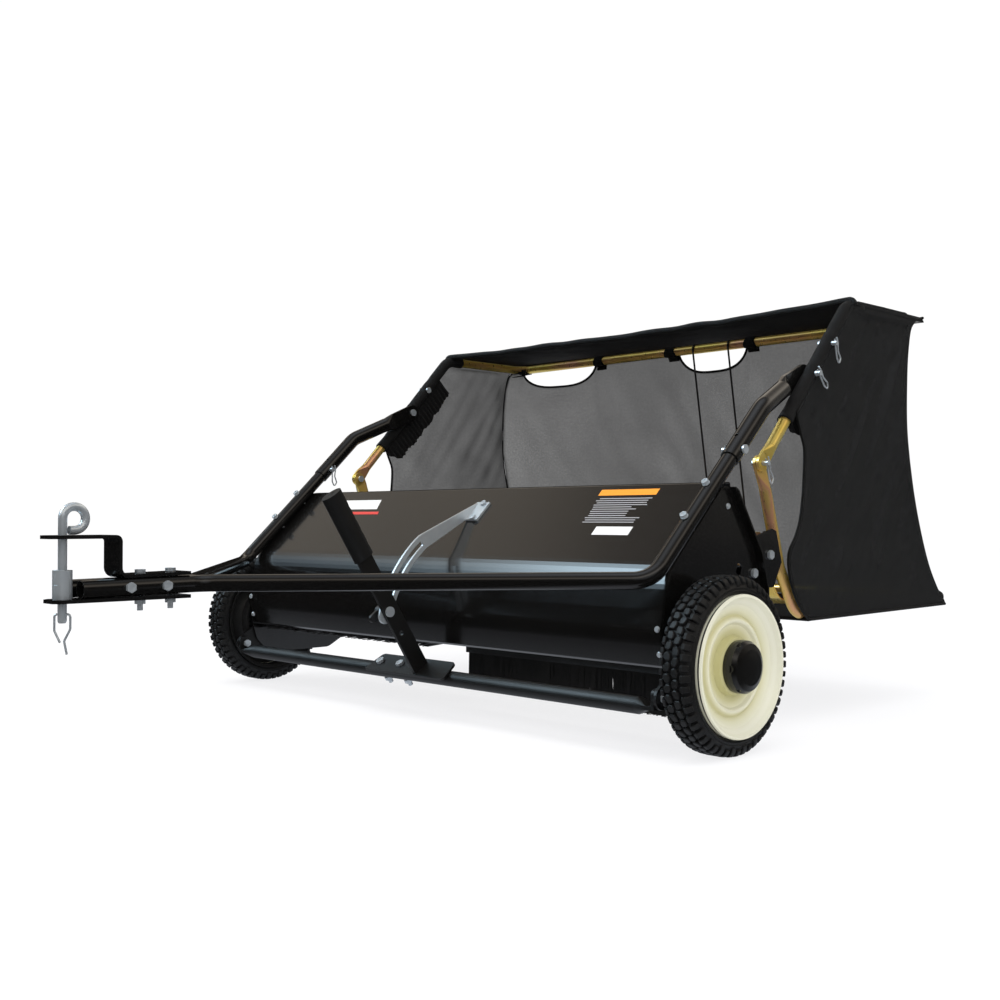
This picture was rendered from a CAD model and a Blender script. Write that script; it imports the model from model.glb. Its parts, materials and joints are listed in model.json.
"""Wheeled brush sweeper with a mesh hopper bag behind it.

The width lies along X with the machine's left at +X, the front faces -Y, Z is up and
the wheels stand on z = 0. Shape dimensions are in mm and turn into metres as meshes
are made. Materials, lights and the camera are in metres.
"""
import json
import math
import random

import bpy
import numpy as np
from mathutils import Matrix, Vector, noise


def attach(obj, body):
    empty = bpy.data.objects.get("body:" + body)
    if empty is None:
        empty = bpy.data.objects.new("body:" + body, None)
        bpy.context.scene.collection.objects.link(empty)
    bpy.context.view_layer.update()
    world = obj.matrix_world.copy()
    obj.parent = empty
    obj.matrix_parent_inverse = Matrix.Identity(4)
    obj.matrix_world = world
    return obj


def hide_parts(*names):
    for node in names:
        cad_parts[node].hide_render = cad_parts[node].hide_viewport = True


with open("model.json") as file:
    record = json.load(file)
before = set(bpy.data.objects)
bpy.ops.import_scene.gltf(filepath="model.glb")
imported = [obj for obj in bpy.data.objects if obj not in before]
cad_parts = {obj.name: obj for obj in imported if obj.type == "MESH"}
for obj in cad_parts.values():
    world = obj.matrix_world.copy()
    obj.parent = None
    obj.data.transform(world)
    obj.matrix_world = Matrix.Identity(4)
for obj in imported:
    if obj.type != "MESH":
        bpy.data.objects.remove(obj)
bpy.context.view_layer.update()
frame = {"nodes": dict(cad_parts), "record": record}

MM = 0.001
SIDES = (("left", 1), ("right", -1))
AXLE_Z = 127.0


# ------------------------------------------------------------------ shader nodes
class Nodes:
    """Short calls that add nodes to one material or world."""

    def __init__(self, owner):
        owner.use_nodes = True
        self.owner = owner
        self.tree = owner.node_tree
        self.tree.nodes.clear()

    def feed(self, node, key, value):
        """Link a socket to an input, or set the input's value."""
        socket = node.inputs[key]
        if isinstance(value, bpy.types.NodeSocket):
            self.tree.links.new(value, socket)
        elif socket.type == "RGBA":
            socket.default_value = (*value, 1.0)
        else:
            socket.default_value = value

    def add(self, kind, inputs=None, **settings):
        node = self.tree.nodes.new("ShaderNode" + kind)
        for key, value in settings.items():
            setattr(node, key, value)
        for key, value in (inputs or {}).items():
            self.feed(node, key, value)
        return node

    def math(self, operation, *values, clamp=False):
        inputs = dict(enumerate(values))
        return self.add("Math", inputs, operation=operation, use_clamp=clamp).outputs[0]

    def scaled(self, value, gain, base):
        return self.math("ADD", self.math("MULTIPLY", value, gain), base)

    def dot(self, first, second):
        node = self.add("VectorMath", {0: first, 1: second}, operation="DOT_PRODUCT")
        return node.outputs["Value"]

    def split(self, vector):
        return self.add("SeparateXYZ", {"Vector": vector}).outputs

    def mix(self, factor, first, second, blend="MIX"):
        inputs = {0: factor, 6: first, 7: second}
        return self.add("Mix", inputs, data_type="RGBA", blend_type=blend).outputs[2]

    def mix_shader(self, factor, first, second):
        return self.add("MixShader", {0: factor, 1: first, 2: second}).outputs[0]

    def ramp(self, factor, stops):
        """Colour ramp through (position, colour) stops."""
        node = self.add("ValToRGB", {0: factor})
        elements = node.color_ramp.elements
        while len(elements) > 1:
            elements.remove(elements[-1])
        for i, (position, color) in enumerate(stops):
            element = elements[0] if i == 0 else elements.new(position)
            element.position = position
            element.color = (*color, 1.0)
        return node.outputs[0]

    def ease(self, value, start, end, low=0.0, high=1.0, kind="SMOOTHSTEP"):
        """Smooth change from low at start to high at end."""
        inputs = {"Value": value, "From Min": start, "From Max": end,
                  "To Min": low, "To Max": high}
        return self.add("MapRange", inputs, interpolation_type=kind).outputs[0]

    def coords(self, kind):
        return self.add("TexCoord").outputs[kind]

    def mapped(self, kind="Object", scale=(1, 1, 1)):
        inputs = {"Vector": self.coords(kind), "Scale": scale}
        return self.add("Mapping", inputs).outputs[0]

    def noise(self, place, scale, detail, rough=0.5):
        inputs = {"Vector": place, "Scale": scale, "Detail": detail, "Roughness": rough}
        return self.add("TexNoise", inputs).outputs[0]

    def bump(self, height, strength, distance, bevel=0.0):
        """Bump, on top of edges rounded to the bevel radius if there is one."""
        inputs = {"Height": height, "Strength": strength, "Distance": distance}
        if bevel:
            inputs["Normal"] = self.add("Bevel", {"Radius": bevel}, samples=4).outputs[0]
        return self.add("Bump", inputs).outputs[0]

    def principled(self, **inputs):
        inputs = {key.replace("_", " "): value for key, value in inputs.items()}
        return self.add("BsdfPrincipled", inputs).outputs[0]

    def finish(self, shader):
        self.add("OutputMaterial", {"Surface": shader})
        return self.owner


def new_material(name):
    return Nodes(bpy.data.materials.new(name))


# ------------------------------------------------------------------ materials
def paint(name, dark, light, roughness, bevel=0.0006, coat=0.35):
    """Painted metal: clouded colour, patchy gloss and a faint fine bump."""
    mat = new_material(name)
    place = mat.mapped()
    cloud = mat.noise(place, scale=7.0, detail=4)
    dust = mat.noise(place, scale=38.0, detail=5, rough=0.65)
    fine = mat.noise(place, scale=420.0, detail=2)
    return mat.finish(mat.principled(
        Base_Color=mat.mix(cloud, dark, light),
        Roughness=mat.scaled(dust, gain=0.10, base=roughness - 0.05),
        Coat_Weight=coat,
        Coat_Roughness=0.08,
        Normal=mat.bump(fine, strength=0.05, distance=0.0004, bevel=bevel)))


def bare_metal(name, dark, light, roughness, metallic):
    """Clouded metal with fine streaks across Z."""
    mat = new_material(name)
    cloud = mat.noise(mat.mapped(), scale=60.0, detail=4)
    streak = mat.noise(mat.mapped(scale=(1, 1, 9)), scale=210.0, detail=3)
    return mat.finish(mat.principled(
        Base_Color=mat.mix(cloud, dark, light),
        Metallic=metallic,
        Roughness=mat.scaled(streak, gain=0.16, base=roughness - 0.08),
        Normal=mat.bump(streak, strength=0.06, distance=0.0003, bevel=0.0005)))


def chromate():
    """Yellow chromate over zinc: thin-film bands of gold, green and pink."""
    mat = new_material("yellow_chromate")
    warp = mat.noise(mat.mapped(), scale=5.0, detail=2)
    facing = mat.add("LayerWeight", {"Blend": 0.35}).outputs["Facing"]
    # the bands follow a slow noise and the angle of view
    band = mat.math("FRACT", mat.math(
        "ADD", mat.math("MULTIPLY", warp, 1.7), mat.math("MULTIPLY", facing, 0.55)))
    gold = (0.86, 0.62, 0.13)
    color = mat.ramp(band, [
        (0.0, gold), (0.26, (0.95, 0.78, 0.30)), (0.44, (0.58, 0.66, 0.10)),
        (0.56, (0.84, 0.64, 0.16)), (0.72, (0.84, 0.42, 0.26)), (0.84, (0.90, 0.56, 0.20)),
        (1.0, gold)])
    streak = mat.noise(mat.mapped(scale=(3, 1, 1)), scale=90.0, detail=2)
    return mat.finish(mat.principled(
        Base_Color=color,
        Metallic=0.82,
        Roughness=mat.scaled(streak, gain=0.10, base=0.24),
        Normal=mat.bump(streak, strength=0.02, distance=0.0002)))


def moulded(name, dark, light, roughness, grain_scale, grain_strength, bevel=0.0008):
    """Moulded plastic or rubber with a fine grain."""
    mat = new_material(name)
    place = mat.mapped()
    cloud = mat.noise(place, scale=18.0, detail=4, rough=0.6)
    grain = mat.noise(place, scale=grain_scale, detail=2)
    return mat.finish(mat.principled(
        Base_Color=mat.mix(cloud, dark, light),
        Roughness=mat.scaled(cloud, gain=0.12, base=roughness - 0.06),
        Normal=mat.bump(grain, strength=grain_strength, distance=0.0004, bevel=bevel)))


def rim_plastic():
    """Cream moulding, black on the faces towards the machine."""
    mat = new_material("rim_cream")
    place = mat.coords("Object")
    x, y, z = mat.split(place)
    z = mat.math("SUBTRACT", z, AXLE_Z * MM)
    radius = mat.math("SQRT", mat.math(
        "ADD", mat.math("MULTIPLY", y, y), mat.math("MULTIPLY", z, z)))
    # radius in units of 0.1 m, colour: yellower towards the hub and in the grooves
    stops = [
        (0.0, (0.46, 0.42, 0.16)), (0.40, (0.56, 0.52, 0.22)), (0.50, (0.68, 0.64, 0.34)),
        (0.58, (0.82, 0.79, 0.56)), (0.635, (0.86, 0.84, 0.66)), (0.70, (0.62, 0.58, 0.30)),
        (0.78, (0.78, 0.76, 0.54)), (0.90, (0.86, 0.85, 0.72)), (1.0, (0.80, 0.79, 0.64))]
    brightness = 0.74
    color = mat.ramp(
        mat.math("MULTIPLY", radius, 10.0),
        [(position, tuple(part * brightness for part in stop)) for position, stop in stops])
    stain = mat.noise(place, scale=22.0, detail=5, rough=0.6)
    color = mat.mix(mat.math("MULTIPLY", stain, 0.25), color, (0.55, 0.52, 0.36))
    grain = mat.noise(place, scale=700.0, detail=2)
    # black where the face looks inwards, or lies nearer the machine than 0.577 m
    normal_x = mat.split(mat.add("NewGeometry").outputs["True Normal"])[0]
    outward = mat.math("MULTIPLY", normal_x, mat.math("SIGN", x))
    inner = mat.math("MAXIMUM", mat.math("LESS_THAN", outward, -0.25),
                     mat.math("LESS_THAN", mat.math("ABSOLUTE", x), 0.577))
    return mat.finish(mat.principled(
        Base_Color=mat.mix(inner, color, (0.012, 0.012, 0.012)),
        Roughness=0.42,
        Normal=mat.bump(grain, strength=0.06, distance=0.0004, bevel=0.0012)))


def tyre_rubber():
    mat = new_material("tyre_rubber")
    place = mat.mapped()
    cloud = mat.noise(place, scale=40.0, detail=5, rough=0.65)
    grain = mat.noise(place, scale=1200.0, detail=2)
    color = mat.ramp(cloud, [(0.25, (0.0035, 0.0035, 0.0036)), (0.6, (0.0065, 0.0065, 0.0067)),
                             (0.85, (0.0125, 0.0123, 0.012))])
    return mat.finish(mat.principled(
        Base_Color=color,
        Roughness=mat.scaled(cloud, gain=0.25, base=0.40),
        Specular_IOR_Level=0.35,
        Normal=mat.bump(grain, strength=0.2, distance=0.0005, bevel=0.0007)))


def weave(mat, pitch):
    """Height of a plain weave over the sheet's metric UVs, and those UVs."""
    place = mat.coords("UV")
    across, along, _ = mat.split(place)
    wobble = mat.math("MULTIPLY", mat.noise(place, scale=9.0, detail=2), 0.0035)
    waves = [
        mat.math("SINE", mat.math(
            "MULTIPLY", mat.math("ADD", distance, wobble), 2 * math.pi / pitch))
        for distance in (across, along)]
    return mat.math("MULTIPLY", *waves), place


def mesh_fabric():
    """Woven mesh that passes less light the flatter it is seen."""
    mat = new_material("mesh_fabric")
    height, place = weave(mat, pitch=0.0021)
    geometry = mat.add("NewGeometry").outputs
    facing = mat.math("ABSOLUTE", mat.dot(geometry["Incoming"], geometry["Normal"]))
    facing = mat.math("MAXIMUM", facing, 0.05)
    cloud = mat.noise(place, scale=5.0, detail=4, rough=0.6)
    grain = mat.noise(place, scale=260.0, detail=3, rough=0.7)
    threads = mat.noise(mat.mapped("UV", scale=(1, 14, 1)), scale=30.0, detail=3, rough=0.6)
    # the cloth is two layers thick: natural log of the light share one layer passes
    layers = 2.0
    log_share = mat.math("SUBTRACT", 0.17 / layers, mat.math("DIVIDE", 1.59 / layers, facing))
    through = mat.math("POWER", 2.71828, log_share)
    grazing = mat.ease(facing, start=0.40, end=0.66, low=0.14)
    through = mat.math("MULTIPLY", through, grazing)
    # unevenness: texture, base share, gain, clamp
    for texture, base, gain, clamp in (
            (cloud, 0.72, 0.30, False), (grain, 0.66, 0.66, False), (height, 1.0, 0.16, True)):
        share = mat.math("ADD", base, mat.math("MULTIPLY", texture, gain))
        through = mat.math("MULTIPLY", through, share, clamp=clamp)
    color = mat.mix(grain, (0.0030, 0.0031, 0.0033), (0.0105, 0.0108, 0.0112))
    color = mat.mix(mat.math("MULTIPLY", threads, 0.24), color, (0.018, 0.0182, 0.019))
    thread = mat.principled(
        Base_Color=color,
        Roughness=0.72,
        Sheen_Weight=0.02,
        Sheen_Roughness=0.4,
        Specular_IOR_Level=0.16,
        Normal=mat.bump(height, strength=0.35, distance=0.0004))
    clear = mat.add("BsdfTransparent").outputs[0]
    return mat.finish(mat.mix_shader(through, thread, clear))


def solid_fabric(name, dark, light, roughness):
    mat = new_material(name)
    height, place = weave(mat, pitch=0.0018)
    grain = mat.noise(place, scale=180.0, detail=3, rough=0.7)
    return mat.finish(mat.principled(
        Base_Color=mat.mix(grain, dark, light),
        Roughness=roughness,
        Sheen_Weight=0.02,
        Specular_IOR_Level=0.22,
        Normal=mat.bump(height, strength=0.5, distance=0.0004)))


def print_ink(name, color):
    mat = new_material(name)
    grain = mat.noise(mat.mapped(), scale=300.0, detail=3)
    worn = tuple(part * 0.8 for part in color)
    return mat.finish(mat.principled(
        Base_Color=mat.mix(mat.math("MULTIPLY", grain, 0.25), color, worn),
        Roughness=0.45,
        Coat_Weight=0.2))


# keyed by material slot
MATERIALS = {
    "black_paint": paint(
        "black_powder_coat", (0.0022, 0.0021, 0.0020), (0.0040, 0.0038, 0.0036),
        roughness=0.17),
    "zinc": bare_metal(
        "bright_zinc", (0.56, 0.62, 0.67), (0.72, 0.76, 0.79), roughness=0.34, metallic=0.80),
    "yellow_zinc": chromate(),
    "grip_rubber": moulded(
        "grip_rubber", (0.0025, 0.0025, 0.0025), (0.006, 0.006, 0.0063),
        roughness=0.42, grain_scale=1500.0, grain_strength=0.2),
    "black_plastic": moulded(
        "black_plastic", (0.005, 0.005, 0.005), (0.010, 0.010, 0.0105),
        roughness=0.40, grain_scale=1200.0, grain_strength=0.12),
    "cap_plastic": moulded(
        "cap_plastic", (0.0022, 0.0021, 0.0019), (0.0048, 0.0045, 0.0040),
        roughness=0.20, grain_scale=900.0, grain_strength=0.04, bevel=0.0012),
    "rim_plastic": rim_plastic(),
    "tyre_rubber": tyre_rubber(),
    "shaft_steel": bare_metal(
        "shaft_steel", (0.30, 0.30, 0.31), (0.42, 0.42, 0.43), roughness=0.38, metallic=1.0),
    "channel_steel": paint(
        "channel_paint", (0.005, 0.005, 0.0052), (0.009, 0.0088, 0.0086), roughness=0.4),
    "bristle": moulded(
        "bristle", (0.0035, 0.0028, 0.0024), (0.012, 0.0095, 0.0075),
        roughness=0.5, grain_scale=900.0, grain_strength=0.1, bevel=0),
    "stay_wire": paint(
        "stay_wire_paint", (0.010, 0.010, 0.010), (0.02, 0.02, 0.02), roughness=0.35, bevel=0),
    "mesh_fabric": mesh_fabric(),
}
MESH = MATERIALS["mesh_fabric"]
HEM = solid_fabric(
    "hem_fabric", (0.0022, 0.0022, 0.0024), (0.0068, 0.0068, 0.0072), roughness=0.66)
PIPING = solid_fabric(
    "piping_fabric", (0.0018, 0.0018, 0.0018), (0.005, 0.005, 0.0053), roughness=0.55)
DULL_PAINT = paint(
    "dull_black_paint", (0.0022, 0.0021, 0.0020), (0.0042, 0.0040, 0.0038),
    roughness=0.46, coat=0.0)
DULL_PARTS = ("cross_bar", "wheel_arm_left", "wheel_arm_right", "lever", "lever_foot")


def dress_cad_pieces():
    slots = {part["node"]: part["material_slot"] for part in frame["record"]["subparts"]}
    for name, piece in frame["nodes"].items():
        piece.data.materials.clear()
        piece.data.materials.append(
            DULL_PAINT if name in DULL_PARTS else MATERIALS[slots[name]])


dress_cad_pieces()


# ------------------------------------------------------------------ mesh helpers
def add_object(name, mesh, material, body, sharp_angle, thickness=0.0):
    """Object from (vertices in metres, faces, UVs or None), riding on a body."""
    verts, faces, uvs = mesh
    data = bpy.data.meshes.new(name)
    data.from_pydata(verts.tolist(), [], faces)
    if uvs is not None:
        layer = data.uv_layers.new(name="cloth")
        loop_uvs = np.array([uvs[loop.vertex_index] for loop in data.loops], np.float32)
        layer.data.foreach_set("uv", loop_uvs.ravel())
    data.validate()
    data.shade_smooth()
    data.set_sharp_from_angle(angle=math.radians(sharp_angle))
    made = bpy.data.objects.new(name, data)
    bpy.context.scene.collection.objects.link(made)
    data.materials.append(material)
    if thickness:
        solidify = made.modifiers.new("thick", "SOLIDIFY")
        solidify.thickness = thickness
        solidify.offset = 0.0
    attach(made, body)
    return made


def add_cloth(name, mesh, material, thickness=0.0):
    """Part of the hopper bag; the thickness is in metres."""
    return add_object(name, mesh, material, "hopper", 60, thickness)


def lattice(rows, cols, start=0, wrap_cols=False, wrap_rows=False):
    """Quads between rows of vertices numbered row by row from start."""
    faces = []
    for i in range(rows if wrap_rows else rows - 1):
        this_row = start + i * cols
        next_row = start + (i + 1) % rows * cols
        for j in range(cols if wrap_cols else cols - 1):
            k = (j + 1) % cols
            faces.append((this_row + j, this_row + k, next_row + k, next_row + j))
    return faces


def end_caps(rows, cols, start=0):
    """Polygons that close the first and last row."""
    last = start + (rows - 1) * cols
    return [tuple(reversed(range(start, start + cols))), tuple(range(last, last + cols))]


def sheet(points, wrap_cols=False):
    """Mesh with metric UVs from a rows x cols x 3 array in mm."""
    points = np.asarray(points, float) * MM
    rows, cols = points.shape[:2]
    col_steps = np.linalg.norm(np.diff(points, axis=1), axis=2).mean(0)
    row_steps = np.linalg.norm(np.diff(points, axis=0), axis=2).mean(1)
    across = np.concatenate([[0], np.cumsum(col_steps)])
    along = np.concatenate([[0], np.cumsum(row_steps)])
    uvs = np.stack(np.meshgrid(across, along), -1).reshape(-1, 2)
    return points.reshape(-1, 3), lattice(rows, cols, wrap_cols=wrap_cols), uvs


def merge(meshes):
    verts, faces, uvs = [], [], []
    offset = 0
    for part_verts, part_faces, part_uvs in meshes:
        verts.append(part_verts)
        uvs.append(part_uvs)
        faces += [tuple(k + offset for k in face) for face in part_faces]
        offset += len(part_verts)
    return np.concatenate(verts), faces, np.concatenate(uvs)


def path_lengths(points):
    """Distance along a path to each of its points."""
    steps = np.linalg.norm(np.diff(points, axis=0), axis=1)
    return np.concatenate([[0], np.cumsum(steps)])


def resample(points, count):
    points = np.asarray(points, float)
    lengths = path_lengths(points)
    places = np.linspace(0, lengths[-1], count)
    return np.stack([np.interp(places, lengths, column) for column in points.T], -1)


def spline(points, count):
    """Catmull-Rom curve through the points, as evenly spaced samples."""
    knots = np.asarray(points, float)
    knots = np.concatenate([[2 * knots[0] - knots[1]], knots, [2 * knots[-1] - knots[-2]]])
    curve = []
    for i in range(1, len(knots) - 2):
        before, start, end, after = knots[i - 1:i + 3]
        for s in np.linspace(0, 1, 24, endpoint=False):
            curve.append(0.5 * (2 * start + (end - before) * s
                                + (2 * before - 5 * start + 4 * end - after) * s * s
                                + (3 * start - before - 3 * end + after) * s ** 3))
    curve.append(knots[-2])
    return resample(curve, count)


def tube(path, radius, sides=8, capped=True, squash=1.0):
    """Round tube along a path in mm; the radius is one number or one per point."""
    path = np.asarray(path, float)
    count = len(path)
    radii = np.full(count, radius)
    tangents = np.gradient(path, axis=0)
    tangents /= np.linalg.norm(tangents, axis=1)[:, None] + 1e-12
    reference = (0.0, 0.0, 1.0) if abs(tangents[0][2]) < 0.9 else (1.0, 0.0, 0.0)
    normal = np.cross(tangents[0], reference)
    normal /= np.linalg.norm(normal)
    angles = np.arange(sides) * 2 * math.pi / sides
    rings = []
    for centre, tangent, ring_radius in zip(path, tangents, radii):
        # carry the normal along so that the rings do not twist
        normal = normal - tangent * (normal @ tangent)
        normal /= np.linalg.norm(normal) + 1e-12
        binormal = np.cross(tangent, normal)
        rings.append(centre + ring_radius * (np.cos(angles)[:, None] * normal
                                             + squash * np.sin(angles)[:, None] * binormal))
    faces = lattice(count, sides, wrap_cols=True)
    if capped:
        faces += end_caps(count, sides)
    around = np.tile(angles * float(radii.mean()), count)
    uvs = np.stack([around, np.repeat(path_lengths(path), sides)], -1) * MM
    return np.concatenate(rings) * MM, faces, uvs


def ripple(first, second, scale, seed):
    """Smooth noise over a plane, about -1 to 1."""
    return noise.noise(Vector((first * scale + seed, second * scale - seed, 2 * seed)))


# ------------------------------------------------------------------ hopper frame and outlines
SIDE_X = 512.0              # centre lines of the two side tubes
REAR_Y = 700.0              # centre line of the upper rear tube
TOP_Z = 699.0               # centre height of the upper tubes
TUBE_R = 9.5
ROOF_R = TUBE_R + 1.6       # roof cloth where it wraps the tubes
SNUG_R = TUBE_R + 1.5       # sleeves and loops round the tubes
CLOTH_X = SIDE_X + ROOF_R   # side walls
BEND_R = 38.0               # bend at the top of the side tubes

# the sloping run of a side tube, as (y, z)
TUBE_LOW = np.array([214.7, 446.2])
TUBE_TOP = np.array([453.0, TOP_Z])
TUBE_DIR = (TUBE_TOP - TUBE_LOW) / np.linalg.norm(TUBE_TOP - TUBE_LOW)
SLEEVE_LOW = np.array([255.0, 489.0])   # lower end of the sleeve

# (y, z) down the side wall: rear corner seam and lower front edge, both from the bottom up
SEAM = [(794, 172), (786, 182), (760, 205), (724, 253), (689, 326), (663, 404), (645, 497),
        (646, 594), (653, 650), (664, 684), (686, 701), (713, 708)]
LOW_FRONT = [(308, 170), (292, 182), (272, 202), (255, 231), (247, 261), (250, 283),
             (264, 299), (280, 326), (289.5, 364), (293.5, 396), (296, 445), (288, 465)]
FRONT_TOP = [(447, 700), (470, 708), (560, 709), (640, 709)]
SEAM_Y, SEAM_Z = zip(*SEAM)
BOTTOM_Z = SEAM_Z[0]

SIDE_ROWS = 90
LOW_FRONT_ROWS = 44         # rows of the side wall whose front edge is piped
along_tube = [SLEEVE_LOW + TUBE_DIR * distance + np.array([2.0, -2.0])
              for distance in np.linspace(22, 240, 24)]
FRONT_EDGE = resample(
    np.concatenate([spline(LOW_FRONT, 40), along_tube, FRONT_TOP]), SIDE_ROWS)
SEAM_EDGE = spline(SEAM, SIDE_ROWS)

EDGE_Z = 694.0              # top edge of the rear panel
NOTCHES = [(-378.0, 106.0), (52.0, 88.0)]   # dips in that edge: centre x, half width


# ------------------------------------------------------------------ bag panels
def side_panel(side):
    """Side wall: rows run from the front edge to the rear seam."""
    cols = 56
    wrinkle_seed, crease_seed = (3.0, 5.0) if side > 0 else (9.0, 2.0)
    points = np.zeros((SIDE_ROWS, cols, 3))
    for i in range(SIDE_ROWS):
        up = i / (SIDE_ROWS - 1)
        for j in range(cols):
            back = j / (cols - 1)
            y, z = FRONT_EDGE[i] * (1 - back) + SEAM_EDGE[i] * back
            # each row sags between its ends, and the wall bows inwards
            z -= 5.0 * math.sin(math.pi * back) * (0.4 + 0.6 * up)
            x = CLOTH_X - 9.0 * (math.sin(math.pi * back) * math.sin(math.pi * up)) ** 0.8
            # broad wrinkles and slanting creases that fade out at the edges
            wrinkle = ripple(y * 0.6, z * 1.2, 0.018, wrinkle_seed)
            crease = ripple(y * 2.2 - z * 1.6, (y + z) * 0.35, 0.014, crease_seed)
            fade = min(1.0, 6 * min(back, 1 - back), 6 * min(up, 1 - up))
            x += fade * (2.6 * wrinkle + 2.2 * crease)
            # gathers that run from the sleeve into the panel
            if up > 0.45:
                x += (1.4 * math.exp(-back * 7) * math.sin(up * 95 + 6 * wrinkle)
                      * min(1, 8 * back + 0.1))
            # close to the side plane near the top
            x = max(x, CLOTH_X - 0.3 - 0.5 * max(0.0, 690.0 - z))
            points[i, j] = (side * x, y, z)
    return points


def top_edge(x):
    """Height of the rear panel's top edge: slightly wavy, with the two notches."""
    for centre, half_width in NOTCHES:
        offset = abs((x - centre) / half_width)
        if offset < 1:
            return EDGE_Z - 1.0 - 44.0 * (1 - offset ** 3.0) ** 0.66
    return EDGE_Z - 0.9 * (1 + math.sin(x * 0.021 + 1.0))


def rear_y(x, z):
    """Rear panel: nearly flat in the middle, drawn in towards the corner seams."""
    low_y, high_y, high_z = 806, 707, 690
    bow = 12
    up = (z - BOTTOM_Z) / (high_z - BOTTOM_Z)
    middle = (low_y + (high_y - low_y) * up
              - bow * math.sin(math.pi * min(max(up, 0), 1)))
    seam = np.interp(z, SEAM_Z, SEAM_Y)
    return seam + (middle - seam) * (1 - min(1.0, abs(x) / CLOTH_X) ** 3.2)


def rear_columns():
    """Even columns, with extra ones that crowd towards the ends of the notches."""
    columns = set(np.linspace(-CLOTH_X, CLOTH_X, 105).round(3))
    for centre, half_width in NOTCHES:
        for angle in np.linspace(0, math.pi, 25):
            columns.add(round(centre + half_width * math.cos(angle), 3))
    columns = sorted(columns)
    kept = [columns[0]]
    for x in columns[1:]:
        if x - kept[-1] > 0.6 or x == columns[-1]:
            kept.append(x)
    return kept


def behind_tube(x, z):
    """Least y at which the cloth clears the lower rear tube and its rounded corners."""
    corner_x, corner_y, corner_r = 466.0, 752.0, 51.0
    past = max(0.0, abs(x) - corner_x)
    if past > corner_r - 0.1:
        return 0.0
    clear = corner_y + math.sqrt(corner_r ** 2 - past * past) + 0.4
    return clear - 0.55 * max(0.0, z - 192.0)


def rear_panel():
    rows = 64
    columns = rear_columns()
    points = np.zeros((rows, len(columns), 3))
    for j, x in enumerate(columns):
        outward = abs(x) / CLOTH_X
        # the last tenth of the edge rises to the top of the corner seam
        rise = max(0.0, (outward - 0.90) / 0.10) ** 2
        top = top_edge(x) + (SEAM_Z[-1] - EDGE_Z) * rise
        for i in range(rows):
            up = i / (rows - 1)
            z = BOTTOM_Z + (top - BOTTOM_Z) * up
            wrinkle = ripple(x * 0.5, z, 0.011, 4.0)
            crease = ripple(x * 1.3 + z * 0.6, z * 0.25, 0.016, 8.0)
            fade = min(1.0, 7 * (1 - outward), 6 * up, 5 * (1 - up))
            y = rear_y(x, z) + fade * (5.0 * wrinkle + 2.4 * crease)
            points[i, j] = (x, max(y, behind_tube(x, z)), z)
    return points


def roof_panel():
    """Top sheet: wraps both side tubes and the rear tube, slack between them."""
    front_y = 459
    back_y = REAR_Y + ROOF_R + 2
    margin = 22     # edge strip that holds the wrapping columns and rows
    wrap = [ROOF_R * (1 - math.cos(angle)) for angle in np.linspace(0, math.pi / 2, 7)]
    columns = ([-CLOTH_X + inset for inset in wrap]
               + list(np.linspace(-CLOTH_X + margin, CLOTH_X - margin, 70))
               + [CLOTH_X - inset for inset in reversed(wrap)])
    rows = (list(np.linspace(front_y, back_y - margin, 34))
            + [back_y - inset for inset in reversed(wrap)])
    points = np.zeros((len(rows), len(columns), 3))
    for i, y in enumerate(rows):
        for j, x in enumerate(columns):
            from_side = min(x + CLOTH_X, CLOTH_X - x)
            from_back = back_y - y
            inset = min(from_side, from_back)
            outward = x / CLOTH_X
            if inset < ROOF_R:
                z = TOP_Z + math.sqrt(max(0, ROOF_R ** 2 - (ROOF_R - inset) ** 2))
            else:
                depth = math.sin(math.pi * min(1, from_back / (back_y - front_y) * 0.86))
                sag = 11.0 * (1 - outward * outward) * depth ** 0.8
                # broad and fine wrinkles, calmer near the tubes
                calm = min(1.0, from_side / 260.0) * min(1.0, from_back / 240.0)
                sag += 3.0 * ripple(x, y * 1.4, 0.013, 1.0) * calm
                sag += 2.2 * ripple(x * 0.5, y * 2, 0.03, 6.0) * calm
                z = TOP_Z + ROOF_R - sag * min(1.0, (inset - ROOF_R) / 40.0)
            # the front hem hangs back at its middle
            hem = max(0.0, 1 - (y - front_y) / 34.0)
            points[i, j] = (x, y + hem * 13.0 * (1 - outward ** 4), z)
    return points


def bottom_panel():
    rows, cols = 34, 60
    front_y, front_z = LOW_FRONT[0]
    points = np.zeros((rows, cols, 3))
    for i, back in enumerate(np.linspace(0, 1, rows)):
        for j, x in enumerate(np.linspace(-CLOTH_X, CLOTH_X, cols)):
            outward = abs(x) / CLOTH_X
            y = front_y + (rear_y(x, BOTTOM_Z) - front_y) * back
            z = front_z + (BOTTOM_Z - front_z) * back
            z -= 9.0 * math.sin(math.pi * back) * (1 - outward ** 4)
            z += 2.0 * ripple(x, y, 0.012, 7.0) * (1 - outward ** 6)
            points[i, j] = (x, y, z)
    return points


rear, roof, bottom = rear_panel(), roof_panel(), bottom_panel()
bag = add_cloth(
    "hopper_bag_cloth",
    merge([sheet(side_panel(1)), sheet(side_panel(-1)), sheet(bottom), sheet(rear)]),
    MESH, thickness=0.0012)
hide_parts("hopper_bag")
add_cloth("hopper_bag_roof", sheet(roof), MESH, thickness=0.0012)


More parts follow.
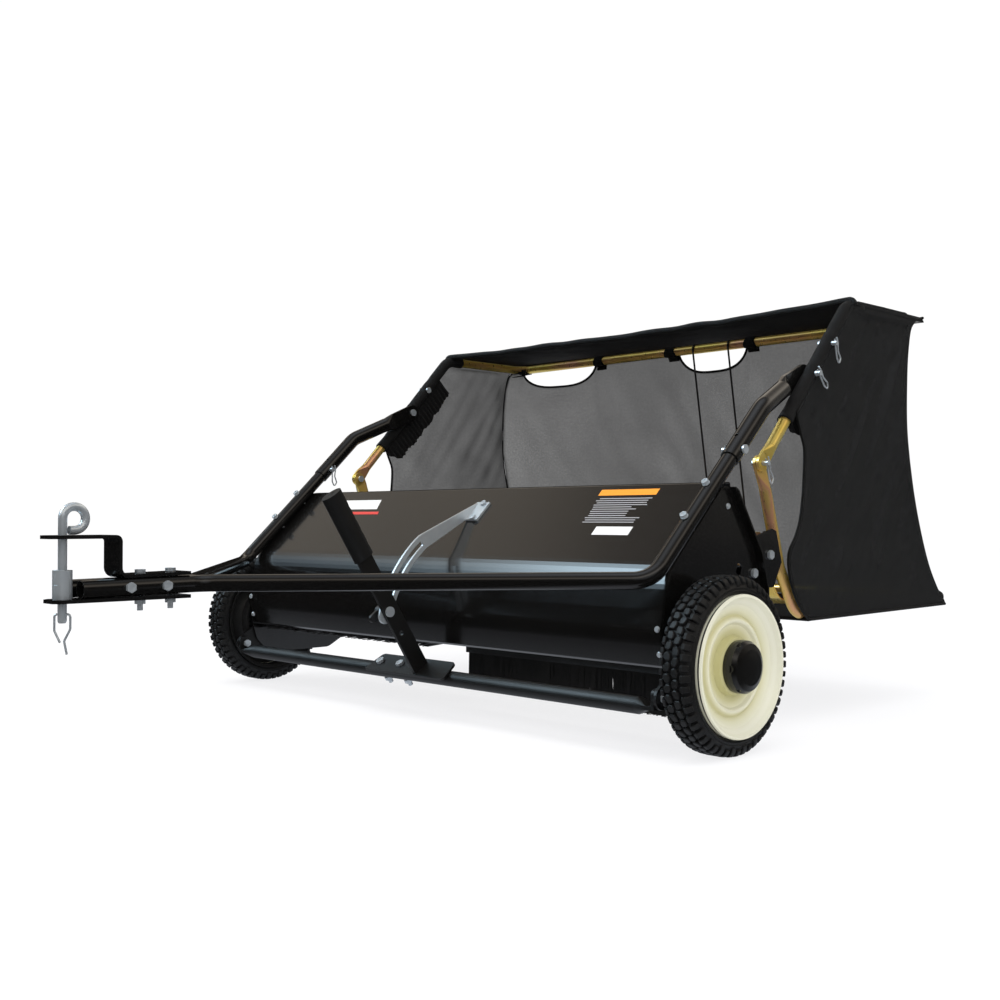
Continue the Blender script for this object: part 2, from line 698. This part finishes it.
# ------------------------------------------------------------------ bag trim
def sleeve(side):
    """Slightly puckered sleeve up one side tube, round its bend and onto the top run."""
    turn = math.atan2(TUBE_DIR[1], TUBE_DIR[0])
    bend_length = BEND_R * math.tan(turn / 2)   # from the corner to each end of the bend
    bend_start = TUBE_TOP - TUBE_DIR * bend_length
    bend_end_y = TUBE_TOP[0] + bend_length
    slope = [SLEEVE_LOW + TUBE_DIR * distance for distance in np.linspace(0, 232, 44)]
    path = [point for point in slope if (point - bend_start) @ TUBE_DIR < -2]
    path += [(bend_end_y + BEND_R * math.cos(angle), TOP_Z - BEND_R + BEND_R * math.sin(angle))
             for angle in np.linspace(turn + math.pi / 2, math.pi / 2, 12)]
    path += [(bend_end_y + distance, TOP_Z) for distance in (8, 16, 24)]
    radii = [SNUG_R + 0.5 * math.sin(i * 0.9) * (0.5 + 0.5 * math.sin(i * 0.37))
             for i in range(len(path))]
    # flared lower end
    radii[0] = TUBE_R + 2.4
    radii[1] = TUBE_R + 2.2
    return tube([(side * SIDE_X, y, z) for y, z in path], radii, sides=20, capped=False)


def sleeve_flap(side):
    """Gathered strip inside each wall, along the sleeve."""
    rows, cols = 150, 16
    down = np.array([TUBE_DIR[1], -TUBE_DIR[0]])    # square to the tube, down and back
    points = np.zeros((rows, cols, 3))
    for i in range(rows):
        along = 4 + 236 * i / (rows - 1)
        width = 42 + 9 * math.sin(math.pi * i / (rows - 1)) ** 0.7
        width += 5 * ripple(along, 0, 0.045, 2.0) + 1.6 * math.sin(i * 0.9)
        width *= min(1.0, 0.45 + i / 22.0)
        drift = ripple(along, 3, 0.03, 1.0)
        for j in range(cols):
            out = j / (cols - 1)
            y, z = (SLEEVE_LOW + TUBE_DIR * (along + 5 * math.sin(out * 2.2) * drift)
                    + down * (9 + width * out))
            x = SIDE_X + 2.0 - 3.0 * min(1, 3 * out)
            # gathers, growing away from the sleeve
            x -= 1.5 * math.sin(i * 0.92 + 1.4 * out) * min(1, 2.5 * out)
            x -= 0.8 * math.sin(i * 0.41) * out
            points[i, j] = (side * x, y, z)
    return sheet(points)


def tube_loop(centre):
    """Fabric loop round the rear tube, its two tails on the rear panel's top edge."""
    width, cols = 26.0, 9
    edge = top_edge(centre)
    tail_y = rear_y(centre, 672)
    path = [(tail_y + 1.6, edge - 13), (706.6, edge - 4)]
    for angle in np.radians(np.linspace(-70, 250, 30)):
        path.append((REAR_Y + SNUG_R * math.cos(angle), TOP_Z + SNUG_R * math.sin(angle)))
    path += [(703.6, edge - 4), (tail_y - 1.6, edge - 13)]
    points = np.zeros((len(path), cols, 3))
    for i, (y, z) in enumerate(path):
        row_width = width * (1 + 0.10 * math.sin(i * 0.5))
        for j in range(cols):
            x = centre + (j / (cols - 1) - 0.5) * row_width
            points[i, j] = (x, y + 0.5 * math.sin(j * 1.7 + i * 0.4), z)
    return sheet(points)


def piping():
    """Cords along the edges and corner seams of the bag."""
    cord_r = 2.6
    cords = [tube(rear[-1], cord_r)]
    for side, column in ((1, -1), (-1, 0)):
        seam = [(side * (CLOTH_X + 0.4), y + 0.6, z) for y, z in SEAM_EDGE]
        front = [(side * CLOTH_X, y, z) for y, z in FRONT_EDGE[:LOW_FRONT_ROWS]]
        cords += [tube(seam, 0.7), tube(front, 2.2), tube(bottom[:, column], cord_r)]
    cords += [tube(bottom[-1], cord_r), tube(bottom[0], 3.0)]
    cords.append(tube(roof[0], 3.6, sides=10, squash=1.6))
    return merge(cords)


def corner_pocket(side):
    """Boxy rounded pocket over one corner of the lower rear tube."""
    rows, cols = 14, 22
    centre = np.array([side * 492.0, 772.0, 186.0])
    half_size = np.array([31.5, 33.0, 13.5])
    points = np.zeros((rows + 1, cols, 3))
    for i in range(rows + 1):
        polar = math.pi * i / rows
        for j in range(cols):
            turn = 2 * math.pi * j / cols
            direction = np.array([math.sin(polar) * math.cos(turn),
                                  math.sin(polar) * math.sin(turn), math.cos(polar)])
            # cubic superellipsoid with shallow lobes
            reach = (np.abs(direction) ** 3).sum() ** (-1 / 3)
            lobes = 1 + 0.03 * math.sin(5 * turn + 3 * polar)
            points[i, j] = centre + direction * reach * half_size * lobes
    return sheet(points, wrap_cols=True)


for side_name, side in SIDES:
    add_cloth("hopper_sleeve_" + side_name, sleeve(side), HEM, thickness=0.0012)
add_cloth("hopper_sleeve_flaps", merge([sleeve_flap(1), sleeve_flap(-1)]), HEM,
          thickness=0.0014)
# one loop 15 mm beyond each end of each notch
loops = [tube_loop(centre + end * (half_width + 15))
         for centre, half_width in NOTCHES for end in (-1, 1)]
add_cloth("hopper_bag_loops", merge(loops), HEM, thickness=0.0014)
add_cloth("hopper_bag_piping", piping(), PIPING)
add_cloth("hopper_bag_pockets", merge([corner_pocket(1), corner_pocket(-1)]), HEM)

# ------------------------------------------------------------------ tyres
# closed section of the left carcass with its bead rings: x, radius about the axle
CARCASS = [
    (556, 100.4), (552.6, 103), (551.2, 107), (551.4, 108.2), (550.7, 109), (551.6, 110),
    (552.6, 115), (555.5, 119.2), (561, 121.2), (568, 121.9), (574, 122.1), (580, 121.9),
    (587, 121.2), (592.5, 119.2), (596.3, 115.5), (597.9, 111.0), (598.9, 110.0),
    (598.2, 108.9), (598.5, 106.6), (599.4, 105.7), (598.6, 104.6), (597.6, 102.6),
    (596.6, 101.0), (595, 100.4)]
CARCASS_STEPS = 180
TYRE_MID_X = 574.7
BLOCKS_AROUND = 54
BLOCK_R = 124.0             # radius at which block lengths are measured
CROWN_ROWS = ((561.8, 573.4), (575.0, 586.4))   # x limits of the two middle rows
# crown block along the tyre: distance, width factor, drop of the top, sideways shift
CROWN_STATIONS = [(-5.9, 0.55, 1.1, -1.0), (-4.6, 0.78, 0.0, -0.8), (-1.6, 1.0, 0.0, -0.2),
                  (1.6, 1.0, 0.0, 0.2), (4.6, 0.78, 0.0, 0.8), (5.9, 0.55, 1.1, 1.0)]


def crown_section(x0, x1):
    return [(x0, 119.6), (x0 + 0.5, 126.0), (x0 + 1.7, 127.0),
            (x1 - 1.7, 127.0), (x1 - 0.5, 126.0), (x1, 119.6)]


def shoulder_section(is_long):
    tip_r = 112.0 if is_long else 115.5
    return [(588.2, 119.0), (588.6, 125.6), (589.8, 126.6), (593.6, 125.8), (596.6, 122.6),
            (598.7, 118.0), (598.9 if is_long else 598.3, tip_r + 1), (597.2, tip_r),
            (592.0, tip_r + 1.5)]


def tyre(side):
    """Rounded carcass with four staggered rows of rubber blocks."""
    verts = []
    for i in range(CARCASS_STEPS):
        angle = 2 * math.pi * i / CARCASS_STEPS
        verts += [(x, r * math.cos(angle), r * math.sin(angle)) for x, r in CARCASS]
    faces = lattice(CARCASS_STEPS, len(CARCASS), wrap_cols=True, wrap_rows=True)

    def add_block(section, centre, stations, shift_sign=1):
        start = len(verts)
        middle = sum(x for x, _ in section) / len(section)
        for distance, squeeze, drop, shift in stations:
            angle = centre + distance / BLOCK_R
            for x, r in section:
                top_r = r - (drop if r > 121 else 0)
                verts.append((middle + (x - middle) * squeeze + shift * shift_sign,
                              top_r * math.cos(angle), top_r * math.sin(angle)))
        faces.extend(lattice(len(stations), len(section), start, wrap_cols=True))
        faces.extend(end_caps(len(stations), len(section), start))

    pitch = 2 * math.pi / BLOCKS_AROUND
    for i in range(BLOCKS_AROUND):
        angle = i * pitch - math.pi / 2
        for row, limits in enumerate(CROWN_ROWS):
            add_block(crown_section(*limits), angle + pitch * 0.5 * row, CROWN_STATIONS,
                      shift_sign=1 if (i + row) % 2 else -1)
        # shoulder blocks, alternately long and short, inner side first
        is_long = i % 2
        half = 4.9 if is_long else 4.2
        stations = [(-half, 0.86, 0.9, 0), (1.0 - half, 1.0, 0, 0),
                    (half - 1.0, 1.0, 0, 0), (half, 0.86, 0.9, 0)]
        outer = shoulder_section(is_long)
        inner = [(2 * TYRE_MID_X - x, r) for x, r in reversed(outer)]
        add_block(inner, angle + pitch * 0.5, stations)
        add_block(outer, angle, stations)

    verts = np.array(verts)
    verts[:, 2] += AXLE_Z
    if side < 0:
        verts[:, 0] *= -1
        faces = [tuple(reversed(face)) for face in faces]
    return verts * MM, faces, None


for side_name, side in SIDES:
    tread = add_object("tyre_tread_" + side_name, tyre(side), MATERIALS["tyre_rubber"],
                       "wheel_" + side_name, sharp_angle=32)
    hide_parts("tyre_" + side_name)

# ------------------------------------------------------------------ brush bristles
BRUSH_CENTRE = np.array([41.7, 122.0])      # y, z of the brush axis
# x limits and angle about the axis, in degrees from straight up
BRISTLE_ROWS = [(5, 509, 0), (5, 509, 180), (-509, -5, 90), (-509, -5, 270)]
TUFT_PITCH = 5.0
TUFT_BRISTLES = 22
ROOT_R, TIP_R = 11.0, 87.4
BRISTLE_R = 0.95


def clamp(value, low, high):
    return min(max(value, low), high)


def bristles():
    """Tufts of three-sided bristles that splay and bend a little."""
    rng = random.Random(4)
    stations, sides = 5, 3
    verts, faces = [], []

    def add_bristle(tuft_x, x0, x1, radial, tangent):
        # root inside an oval tuft: angle, then distance from its centre
        turn = rng.uniform(0, 2 * math.pi)
        spread = rng.uniform(0, 1) ** 0.5
        root_x = 2.6 * spread * math.cos(turn)
        root_side = 6.0 * spread * math.sin(turn)
        lean_x = rng.gauss(0, 1.5) + root_x * 0.7
        lean_side = root_side * 0.8 + rng.gauss(0, 1.4)
        tip_r = TIP_R - abs(rng.gauss(0, 0.8))
        bend = rng.gauss(0, 1.2)
        start = len(verts)
        for i in range(stations):
            out = i / (stations - 1)
            r = ROOT_R + (tip_r - ROOT_R) * out
            x = clamp(tuft_x + root_x + lean_x * out, x0 + 0.6, x1 - 0.6)
            # narrower near the axis
            limit = 7.0 if r < 24 else 10.4
            sideways = clamp(root_side + lean_side * out + bend * out * out, -limit, limit)
            thickness = BRISTLE_R * (1 - 0.25 * out)
            for j in range(sides):
                angle = 2 * math.pi * j / sides
                y, z = (BRUSH_CENTRE + radial * r
                        + tangent * (sideways + thickness * math.sin(angle)))
                verts.append((x + thickness * math.cos(angle), y, z))
        faces.extend(lattice(stations, sides, start, wrap_cols=True))
        faces.extend(end_caps(stations, sides, start))

    for x0, x1, degrees in BRISTLE_ROWS:
        angle = math.radians(degrees)
        radial = np.array([-math.sin(angle), math.cos(angle)])
        tangent = np.array([math.cos(angle), math.sin(angle)])
        for tuft_x in np.arange(x0 + 3.0, x1 - 2.5, TUFT_PITCH):
            for _ in range(TUFT_BRISTLES):
                add_bristle(tuft_x, x0, x1, radial, tangent)
    return np.array(verts) * MM, faces, None


tufts = add_object("brush_bristle_tufts", bristles(), MATERIALS["bristle"],
                   "brush", sharp_angle=80)
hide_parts("brush_bristles")

# ------------------------------------------------------------------ plain bars printed on the hood
HOOD_SLOPE = math.radians(43.4)
HOOD_Y, HOOD_Z = 76, 387            # a point on the sloping face
PRINT_HEIGHTS = (0.06, 0.22)        # underside and top of the print above the face


def on_hood(x, z, lift):
    y = HOOD_Y + (z - HOOD_Z) / math.tan(HOOD_SLOPE)
    return (x, y - lift * math.sin(HOOD_SLOPE), z + lift * math.cos(HOOD_SLOPE))


def add_print(name, material, bars):
    """Thin plates from bars given as x0, x1, z0, z1 and the x shift of the top edge."""
    verts, faces = [], []
    for x0, x1, z0, z1, skew in bars:
        corners = [(x0, z0), (x1, z0), (x1 + skew, z1), (x0 + skew, z1)]
        start = len(verts)
        verts += [on_hood(x, z, lift) for lift in PRINT_HEIGHTS for x, z in corners]
        faces += end_caps(2, 4, start) + lattice(2, 4, start, wrap_cols=True)
    verts = np.array(verts) * MM
    add_object(name, (verts, faces, verts[:, [0, 2]]), material,
               "chassis", sharp_angle=40)


def label_bars():
    """Rows of thin bars with ragged ends."""
    rng = random.Random(2)
    bars = []
    z = 366.0
    while z > 328:
        x0 = 292 + rng.uniform(0, 6)
        x1 = 404 - rng.choice([0, 2, 5, 18, 30])
        bars.append((x0, x1, z - 1.3, z, 0))
        z -= 3.4
    return bars


white = print_ink("print_white", (0.78, 0.78, 0.78))
red = print_ink("print_red", (0.62, 0.03, 0.02))
orange = print_ink("print_orange", (0.85, 0.30, 0.01))
grey = print_ink("print_grey", (0.32, 0.32, 0.34))
add_print("hood_stripe_white", white, [(-402, -374, 352, 370, -9), (-366, -256, 352, 370, -9)])
add_print("hood_stripe_red", red, [(-352, -240, 342, 347, -3)])
add_print("hood_label_band", orange, [(289, 407, 370.5, 380, 0)])
add_print("hood_label_bars", grey, label_bars())
add_print("hood_label_patch", white, [(331, 404, 308.5, 321, 0)])


# ------------------------------------------------------------------ floor
def floor_material():
    """White to the camera; reflections see a cool glow that fades to the front and left."""
    mat = new_material("studio_floor")
    rays = mat.add("LightPath").outputs
    x, y, _ = mat.split(mat.add("NewGeometry").outputs["Position"])
    glow_strength = mat.math(
        "MULTIPLY",
        mat.ease(y, start=-0.34, end=-0.10, low=0.015, high=0.55),
        mat.ease(x, start=0.62, end=0.80, low=1.0, high=0.10))
    matte = mat.add("BsdfDiffuse", {"Color": (0.95, 0.955, 0.965)}).outputs[0]
    glow = mat.add(
        "Emission", {"Color": (0.86, 0.91, 1.0), "Strength": glow_strength}).outputs[0]
    seen = mat.add("Emission", {"Color": (0.985, 0.985, 1.0), "Strength": 1.03}).outputs[0]
    # 0.78: how far the camera's view of the floor is lifted to plain white
    lift = mat.math("MULTIPLY", rays["Is Camera Ray"], 0.78)
    lit = mat.mix_shader(lift, matte, seen)
    return mat.finish(mat.mix_shader(rays["Is Glossy Ray"], lit, glow))


def add_floor():
    half = 14
    data = bpy.data.meshes.new("floor")
    corners = [(-half, -half, 0), (half, -half, 0), (half, half, 0), (-half, half, 0)]
    data.from_pydata(corners, [], [(0, 1, 2, 3)])
    floor = bpy.data.objects.new("floor", data)
    bpy.context.scene.collection.objects.link(floor)
    floor.location.z = -0.0005
    data.materials.append(floor_material())


# ------------------------------------------------------------------ surroundings
def add_world():
    """Plain white to the camera and diffuse rays, a painted studio to reflections."""
    world = bpy.data.worlds.new("studio")
    bpy.context.scene.world = world
    sky = Nodes(world)
    rays = sky.add("LightPath").outputs
    direction = sky.coords("Generated")
    x, _, z = sky.split(direction)

    def lobe(towards, inner, outer, color, strength, power=1.0, mask=None):
        """Smooth bright patch round one direction; inner and outer are in degrees."""
        amount = sky.ease(
            sky.dot(direction, Vector(towards).normalized()),
            start=math.cos(math.radians(outer)), end=math.cos(math.radians(inner)),
            kind="SMOOTHERSTEP")
        amount = sky.math("POWER", amount, power)
        if mask is not None:
            amount = sky.math("MULTIPLY", amount, mask)
        bright = tuple(part * strength for part in color)
        return sky.mix(1.0, bright, amount, blend="MULTIPLY")

    # elevation from 0 at the horizon to 1 overhead: dark, a warm glow, then cool light
    elevation = sky.math("DIVIDE", sky.math("ARCSINE", z), math.pi / 2)
    total = sky.ramp(elevation, [
        (0.0, (0.012, 0.011, 0.010)), (0.20, (0.016, 0.014, 0.012)),
        (0.29, (0.20, 0.17, 0.14)), (0.38, (0.95, 0.86, 0.74)), (0.47, (0.78, 0.69, 0.58)),
        (0.56, (0.24, 0.21, 0.18)), (0.66, (0.14, 0.135, 0.13)),
        (0.80, (0.45, 0.47, 0.50)), (1.0, (0.80, 0.84, 0.90))])
    # everything dims towards -X
    fade = sky.ease(x, start=-0.66, end=-0.78, low=1.0, high=0.56)
    total = sky.mix(1.0, total, fade, blend="MULTIPLY")
    patch_fade = sky.ease(x, start=-0.62, end=-0.755, low=1.0, high=0.10)
    lobes = [
        lobe((-0.655, -0.485, 0.58), inner=0, outer=26, color=(0.62, 0.84, 1.0),
             strength=10.5, power=1.4, mask=patch_fade),
        lobe((0.75, -0.35, 0.45), inner=5, outer=32, color=(0.9, 0.95, 1.0), strength=0.35),
        lobe((0.2, 0.85, 0.35), inner=10, outer=45, color=(1.0, 0.97, 0.9), strength=0.16)]
    for light_patch in lobes:
        total = sky.mix(1.0, total, light_patch, blend="ADD")

    def background(color, strength):
        return sky.add("Background", {"Color": color, "Strength": strength}).outputs[0]

    to_camera = background((1, 1, 1), strength=1.02)
    to_diffuse = background((1, 1, 1), strength=1.12)
    to_glossy = background(total, strength=1.0)
    unseen = sky.mix_shader(rays["Is Glossy Ray"], to_diffuse, to_glossy)
    shader = sky.mix_shader(rays["Is Camera Ray"], unseen, to_camera)
    sky.add("OutputWorld", {"Surface": shader})


def add_area_light(name, location, target, width, height, power):
    """Area light that leaves no highlight of its own."""
    data = bpy.data.lights.new(name, "AREA")
    data.shape = "RECTANGLE"
    data.size = width
    data.size_y = height
    data.energy = power
    data.color = (1, 1, 1)
    light = bpy.data.objects.new(name, data)
    bpy.context.scene.collection.objects.link(light)
    light.location = location
    aim = Vector(target) - Vector(location)
    light.rotation_euler = aim.to_track_quat("-Z", "Y").to_euler()
    light.visible_glossy = False


def add_camera():
    data = bpy.data.cameras.new("view")
    data.sensor_width = 36.0
    data.lens = 43.19748
    data.clip_end = 60
    camera = bpy.data.objects.new("view", data)
    bpy.context.scene.collection.objects.link(camera)
    camera.location = (1.55995, -1.41421, 0.33196)
    # tilted a little above level, turned to look towards -X and +Y
    camera.rotation_euler = (math.radians(90 + 0.935), 0, math.radians(45.47))
    bpy.context.scene.camera = camera


add_floor()
add_world()
bpy.context.scene.view_settings.view_transform = "Standard"
add_area_light("top_soft", location=(0.6, -0.8, 3.6), target=(0, 0.1, 0.2),
               width=3.4, height=2.6, power=60)
add_area_light("right_fill", location=(3.4, -1.6, 1.6), target=(0.4, 0.1, 0.3),
               width=1.6, height=1.6, power=26)
add_camera()
